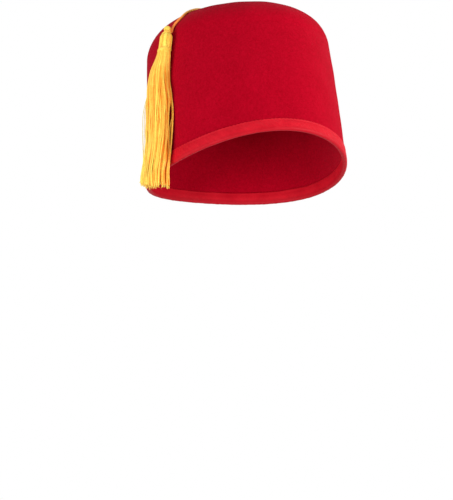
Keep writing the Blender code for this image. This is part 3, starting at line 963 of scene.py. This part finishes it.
def make_frayed_tips(ends, look, random):
    """Fine fibres that splay out of the end of each thread; ends is (threads, 2, 3), the tip last."""
    count = len(ends) * FRAY_FIBRES
    tip = np.repeat(ends[:, 1], FRAY_FIBRES, axis=0)
    run = np.repeat(unit(ends[:, 1] - ends[:, 0]), FRAY_FIBRES, axis=0)
    splay = random.normal(0, 0.20, (count, 3))
    curl = random.normal(0, 0.15, (count, 3))
    length = random.uniform(*FRAY_LENGTHS, (count, 1))
    root = tip - run * 0.0012 + splay * 0.0004
    fall = np.linspace(0, 1, FRAY_RINGS)
    t = fall[None, :, None]
    paths = root[:, None] + length[:, None] * (run[:, None] * t + splay[:, None] * t ** 2 * 0.7
                                               + curl[:, None] * t ** 3 * 0.6)
    radii = (FRAY_RADIUS * (1 - 0.6 * fall) * random.uniform(0.7, 1.2, (count, 1)))[..., None]
    tint = np.repeat(random.uniform(0.45, 1.05, count), FRAY_RINGS * FRAY_SIDES)
    make_strand("tassel_tips", sweep(paths, radii, FRAY_SIDES, tassel_facing()), look, tint)


def make_skirt(look):
    """The hanging threads in three layers, the loose ones, and their frayed ends."""
    random = np.random.default_rng(SKIRT_SEED)
    outer, outer_tint = skirt_threads(random, *SKIRT_OUTER)
    inner, inner_tint = skirt_threads(random, *SKIRT_INNER)
    heart, heart_tint = skirt_threads(random, *SKIRT_HEART)
    inner, inner_tint = np.concatenate([inner, heart]), np.concatenate([inner_tint, heart_tint])
    rings = outer.shape[1]
    strays, stray_tint, stray_size = stray_threads(rings)
    radii = thread_radii(random, len(outer) + len(strays), rings)
    radii[len(outer):] *= stray_size[..., None]
    outer = np.concatenate([outer, strays])
    tints = np.concatenate([outer_tint, stray_tint])
    make_skirt_layer("tassel_skirt", outer, radii, 6, look, tints, ["tassel"])
    radii = thread_radii(random, *inner.shape[:2])
    # Painted shade: the inner threads are tinted a deeper orange for the shade inside the skirt
    make_skirt_layer("tassel_inner_skirt", inner, radii, 5, look, inner_tint - SKIRT_INNER_SHADE)
    ends = np.concatenate([outer[:, [-3, -1]], inner[:, [-2, -1]]])
    make_frayed_tips(ends, look, random)


def make_head(look):
    """The tassel's head: yarns folded down over a core."""
    random = np.random.default_rng(HEAD_SEED)
    top = NECK_HEIGHT - HEAD_TOP_DROP * np.linspace(0, 1, HEAD_TOP_RINGS) ** 1.6
    wall = np.linspace(NECK_HEIGHT - HEAD_WALL_DROP, TIE_HEIGHT - 0.001, HEAD_WALL_RINGS)
    heights = np.concatenate([top, wall])
    height = np.broadcast_to(heights, (HEAD_THREADS, len(heights)))
    angle = even_angles(HEAD_THREADS, 1.03)[:, None]
    angle = angle + 0.02 * np.sin(heights * 400 + random.uniform(0, 6, (HEAD_THREADS, 1)))
    angle = angle - HEAD_FOLD_PULL * np.sin(HEAD_FOLDS * angle + HEAD_FOLD_START)
    fold = np.cos(HEAD_FOLDS * angle + HEAD_FOLD_START)
    paths = section_points(height, angle, 1 - HEAD_FOLD_DEPTH + HEAD_FOLD_DEPTH * fold, THREAD_DIAMETER / 2)
    from_middle = np.linalg.norm(paths - tassel_frame(height)[0], axis=-1)
    radii = THREAD_DIAMETER / 2 * 1.06 * np.clip(from_middle / HEAD_CROWDED, 0.3, 1)
    tubes = sweep(paths, radii[..., None], 8, tassel_facing())
    # Painted shade: the tints are deeper in the hollows between the folds, on the front side next to the felt
    # and on the outer side
    tints = 0.74 + random.uniform(-0.10, 0.10, (HEAD_THREADS, 1)) + 0.12 * fold
    tints = np.repeat(tints - 0.42 * near(angle, FRONT_ANGLE, 11) - 0.35 * near(angle, OUTER_ANGLE, 3), 8)

    core_height = np.linspace(NECK_HEIGHT - 0.0004, TIE_HEIGHT - 0.003, HEAD_CORE_RINGS)[:, None]
    core = section_points(core_height, full_turn(HEAD_CORE_SIDES), 0.93, THREAD_DIAMETER / 2)[:, ::-1]
    tints = np.append(tints, np.full(HEAD_CORE_RINGS * HEAD_CORE_SIDES, 0.3))
    make_strand("tassel_head", add_core(tubes, core), look, tints)


def make_winding(look, name, height, turns, pitch, proud, diameter, rings):
    """Yarn wound round the tassel at a height."""
    t = np.linspace(0, turns, rings)
    at = height + (t / turns - 0.5) * pitch * turns
    path = section_points(at, 2 * np.pi * t, 1.0, -proud - diameter / 2)
    make_strand(name, sweep(path[None], diameter / 2, 8, (0, 0, 1)), look, 0.62)


# ---- camera, floor and light

def way_from_hat(azimuth, elevation):
    """The level way out from the front, turned by these degrees to the hat's left and up."""
    azimuth, elevation = math.radians(azimuth), math.radians(elevation)
    return Vector((math.sin(azimuth) * math.cos(elevation), -math.cos(azimuth) * math.cos(elevation),
                   math.sin(elevation)))


def make_camera():
    """A long lens, turned so that the aim point falls on its pixel."""
    back = way_from_hat(CAMERA_AZIMUTH, CAMERA_ELEVATION)
    level = (-back).cross(Vector((0, 0, 1))).normalized()
    above = level.cross(-back)
    roll = math.radians(CAMERA_ROLL)
    right = level * math.cos(roll) + above * math.sin(roll)
    up = above * math.cos(roll) - level * math.sin(roll)
    aim = Vector(((AIM_PIXEL[0] - PICTURE_SIZE[0] / 2) / FOCAL_PIXELS,
                  (PICTURE_SIZE[1] / 2 - AIM_PIXEL[1]) / FOCAL_PIXELS, -1))
    turn = aim.rotation_difference(Vector((0, 0, -1))).to_matrix()
    facing = Matrix((right, up, back)).transposed() @ turn
    data = bpy.data.cameras.new("camera")
    data.sensor_fit = "VERTICAL"
    data.sensor_height = SENSOR_HEIGHT
    data.lens = FOCAL_PIXELS / PICTURE_SIZE[1] * SENSOR_HEIGHT
    camera = add_object("camera", data)
    camera.matrix_world = Matrix.Translation(CAMERA_AIM + back * CAMERA_DISTANCE) @ facing.to_4x4()
    bpy.context.scene.camera = camera


def make_light(name, bearing, height, width, tall, watts):
    """An area light that faces the middle of the hat."""
    way = way_from_hat(CAMERA_AZIMUTH + bearing, height)
    data = bpy.data.lights.new(name, "AREA")
    data.shape = "RECTANGLE"
    data.size = width
    data.size_y = tall
    data.energy = watts
    light = add_object(name, data)
    light.location = CAMERA_AIM + way * LIGHT_DISTANCE
    light.rotation_euler = way.to_track_quat("Z", "Y").to_euler()


def make_floor():
    """A plain pale floor far below the hat."""
    mesh = bpy.data.meshes.new("floor")
    corners = [(x * FLOOR_HALF, y * FLOOR_HALF, FLOOR_HEIGHT)
               for x, y in ((-1, -1), (1, -1), (1, 1), (-1, 1))]
    mesh.from_pydata(corners, [], [(0, 1, 2, 3)])
    pale, _, _ = start_material("pale_floor", {"Base Color": (0.93, 0.93, 0.93, 1), "Roughness": 0.9})
    mesh.materials.append(pale)
    add_object("floor", mesh)


def make_studio():
    """The floor, a white backdrop and soft light from all round."""
    make_floor()
    world = bpy.data.worlds.new("studio")
    bpy.context.scene.world = world
    world.use_nodes = True
    tree = world.node_tree
    tree.nodes.clear()
    seen = add_node(tree, "Background", {"Color": (1, 1, 1, 1), "Strength": BACKDROP_STRENGTH})
    ambient = add_node(tree, "Background", {"Color": (1, 1, 1, 1), "Strength": AMBIENT_STRENGTH})
    to_camera = add_node(tree, "LightPath", {}, output="Is Camera Ray")
    mixed = add_node(tree, "MixShader", {0: to_camera, 1: ambient, 2: seen})
    out = tree.nodes.new("ShaderNodeOutputWorld")
    tree.links.new(mixed, out.inputs["Surface"])
    for light in LIGHTS:
        make_light(*light)
    bpy.context.scene.view_settings.view_transform = "Standard"


# ---- the whole scene

make_camera()
yarn = make_thread("rayon_yarn", YARN_COLOURS, roughness=0.42, plies=THREAD_PLIES, lay=THREAD_LAY,
                   groove=0.00008)
cord_yarn = make_thread("gold_cord", CORD_COLOURS, roughness=0.50, plies=CORD_PLIES, lay=CORD_LAY,
                        groove=0.00003)
felt = make_felt()
satin = make_satin()

make_cord(cord_yarn)
make_stop_knot(cord_yarn)
make_crown(felt)
make_ribbon(satin)
make_stitches(satin)
make_knob(yarn)
make_head(yarn)
for winding in WINDINGS:
    make_winding(yarn, *winding)
make_skirt(yarn)
make_studio()
